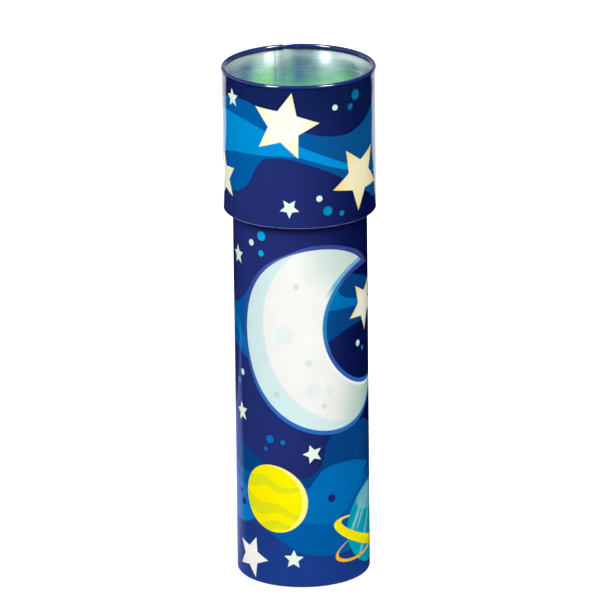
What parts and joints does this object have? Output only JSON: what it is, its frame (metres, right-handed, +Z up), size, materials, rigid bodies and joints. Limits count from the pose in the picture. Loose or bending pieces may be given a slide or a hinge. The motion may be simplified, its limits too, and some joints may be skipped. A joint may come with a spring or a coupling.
{
  "type": "kaleidoscope",
  "caption": "Tin kaleidoscope with a printed night-sky tube, a mirror prism and a wide open-mouthed cap that turns a cell of loose coloured beads.",
  "frame": {"origin": "centre of the ring that the tube stands on, at the eyepiece end", "axes": "+Z up along the tube's axis from the eyepiece to the cap's mouth; -Y is the front of the print, the cap's side seam is at the back"},
  "size_m": [0.0512, 0.0512, 0.1755],
  "materials": {
    "printed_tube": "glossy lithographed night-sky print on tinplate",
    "printed_cap": "glossy lithographed night-sky print on tinplate, bare inside",
    "bare_tin": "bare tinplate with rolling grain",
    "clear_plastic": "clear polished plastic",
    "frosted_plastic": "frosted translucent plastic",
    "mirror_strip": "silvered glass",
    "grey_card": "uncoated grey card",
    "paper_tape": "kraft paper tape",
    "white_plastic": "moulded white plastic",
    "spring_wire": "drawn spring wire",
    "green_bead": "clear tinted green",
    "blue_bead": "clear tinted blue",
    "aqua_bead": "clear tinted aqua",
    "yellow_bead": "clear tinted yellow",
    "red_bead": "clear tinted red"
  },
  "bodies": {
    "tube": {"tube_shell": "printed_tube", "eyepiece_end": "bare_tin", "eyepiece_window": "clear_plastic", "eyepiece_card": "grey_card", "mask_card": "grey_card", "mirror_1": "mirror_strip", "mirror_2": "mirror_strip", "mirror_3": "mirror_strip", "mirror_tape_1": "paper_tape", "mirror_tape_2": "paper_tape"},
    "cap": {"cap_shell": "printed_cap", "bearing_sleeve": "grey_card", "cell_seat": "white_plastic", "cell_floor": "clear_plastic", "cell_spacer": "white_plastic", "diffuser": "frosted_plastic", "retaining_ring": "spring_wire"},
    "round_bead_1": {"round_bead_1": "green_bead"},
    "chip_1": {"chip_1": "blue_bead"},
    "gem_1": {"gem_1": "aqua_bead"},
    "star_chip_1": {"star_chip_1": "green_bead"},
    "tube_bead_1": {"tube_bead_1": "yellow_bead"},
    "round_bead_2": {"round_bead_2": "green_bead"},
    "chip_2": {"chip_2": "blue_bead"},
    "gem_2": {"gem_2": "red_bead"},
    "star_chip_2": {"star_chip_2": "green_bead"},
    "tube_bead_2": {"tube_bead_2": "blue_bead"},
    "round_bead_3": {"round_bead_3": "aqua_bead"},
    "chip_3": {"chip_3": "green_bead"},
    "gem_3": {"gem_3": "yellow_bead"},
    "star_chip_3": {"star_chip_3": "green_bead"},
    "tube_bead_3": {"tube_bead_3": "blue_bead"},
    "round_bead_4": {"round_bead_4": "red_bead"},
    "chip_4": {"chip_4": "green_bead"},
    "gem_4": {"gem_4": "blue_bead"},
    "star_chip_4": {"star_chip_4": "aqua_bead"},
    "tube_bead_4": {"tube_bead_4": "green_bead"},
    "round_bead_5": {"round_bead_5": "yellow_bead"},
    "chip_5": {"chip_5": "green_bead"}
  },
  "joints": [
    {"name": "cap_turn", "type": "hinge", "parent": "tube", "child": "cap", "pos_m": [0, 0, 0.1265], "axis": [0, 0, 1], "continuous": true},
    {"name": "round_bead_1_lift", "type": "slide", "parent": "cap", "child": "round_bead_1", "axis": [0, 0, 1], "range_m": [0, 0.0036]},
    {"name": "chip_1_lift", "type": "slide", "parent": "cap", "child": "chip_1", "axis": [0, 0, 1], "range_m": [0, 0.006]},
    {"name": "gem_1_lift", "type": "slide", "parent": "cap", "child": "gem_1", "axis": [0, 0, 1], "range_m": [0, 0.0048]},
    {"name": "star_chip_1_lift", "type": "slide", "parent": "cap", "child": "star_chip_1", "axis": [0, 0, 1], "range_m": [0, 0.006]},
    {"name": "tube_bead_1_lift", "type": "slide", "parent": "cap", "child": "tube_bead_1", "axis": [0, 0, 1], "range_m": [0, 0.005]},
    {"name": "round_bead_2_lift", "type": "slide", "parent": "cap", "child": "round_bead_2", "axis": [0, 0, 1], "range_m": [0, 0.0036]},
    {"name": "chip_2_lift", "type": "slide", "parent": "cap", "child": "chip_2", "axis": [0, 0, 1], "range_m": [0, 0.006]},
    {"name": "gem_2_lift", "type": "slide", "parent": "cap", "child": "gem_2", "axis": [0, 0, 1], "range_m": [0, 0.0048]},
    {"name": "star_chip_2_lift", "type": "slide", "parent": "cap", "child": "star_chip_2", "axis": [0, 0, 1], "range_m": [0, 0.006]},
    {"name": "tube_bead_2_lift", "type": "slide", "parent": "cap", "child": "tube_bead_2", "axis": [0, 0, 1], "range_m": [0, 0.005]},
    {"name": "round_bead_3_lift", "type": "slide", "parent": "cap", "child": "round_bead_3", "axis": [0, 0, 1], "range_m": [0, 0.0036]},
    {"name": "chip_3_lift", "type": "slide", "parent": "cap", "child": "chip_3", "axis": [0, 0, 1], "range_m": [0, 0.006]},
    {"name": "gem_3_lift", "type": "slide", "parent": "cap", "child": "gem_3", "axis": [0, 0, 1], "range_m": [0, 0.0048]},
    {"name": "star_chip_3_lift", "type": "slide", "parent": "cap", "child": "star_chip_3", "axis": [0, 0, 1], "range_m": [0, 0.006]},
    {"name": "tube_bead_3_lift", "type": "slide", "parent": "cap", "child": "tube_bead_3", "axis": [0, 0, 1], "range_m": [0, 0.005]},
    {"name": "round_bead_4_lift", "type": "slide", "parent": "cap", "child": "round_bead_4", "axis": [0, 0, 1], "range_m": [0, 0.0036]},
    {"name": "chip_4_lift", "type": "slide", "parent": "cap", "child": "chip_4", "axis": [0, 0, 1], "range_m": [0, 0.006]},
    {"name": "gem_4_lift", "type": "slide", "parent": "cap", "child": "gem_4", "axis": [0, 0, 1], "range_m": [0, 0.0048]},
    {"name": "star_chip_4_lift", "type": "slide", "parent": "cap", "child": "star_chip_4", "axis": [0, 0, 1], "range_m": [0, 0.006]},
    {"name": "tube_bead_4_lift", "type": "slide", "parent": "cap", "child": "tube_bead_4", "axis": [0, 0, 1], "range_m": [0, 0.005]},
    {"name": "round_bead_5_lift", "type": "slide", "parent": "cap", "child": "round_bead_5", "axis": [0, 0, 1], "range_m": [0, 0.0036]},
    {"name": "chip_5_lift", "type": "slide", "parent": "cap", "child": "chip_5", "axis": [0, 0, 1], "range_m": [0, 0.006]}
  ]
}
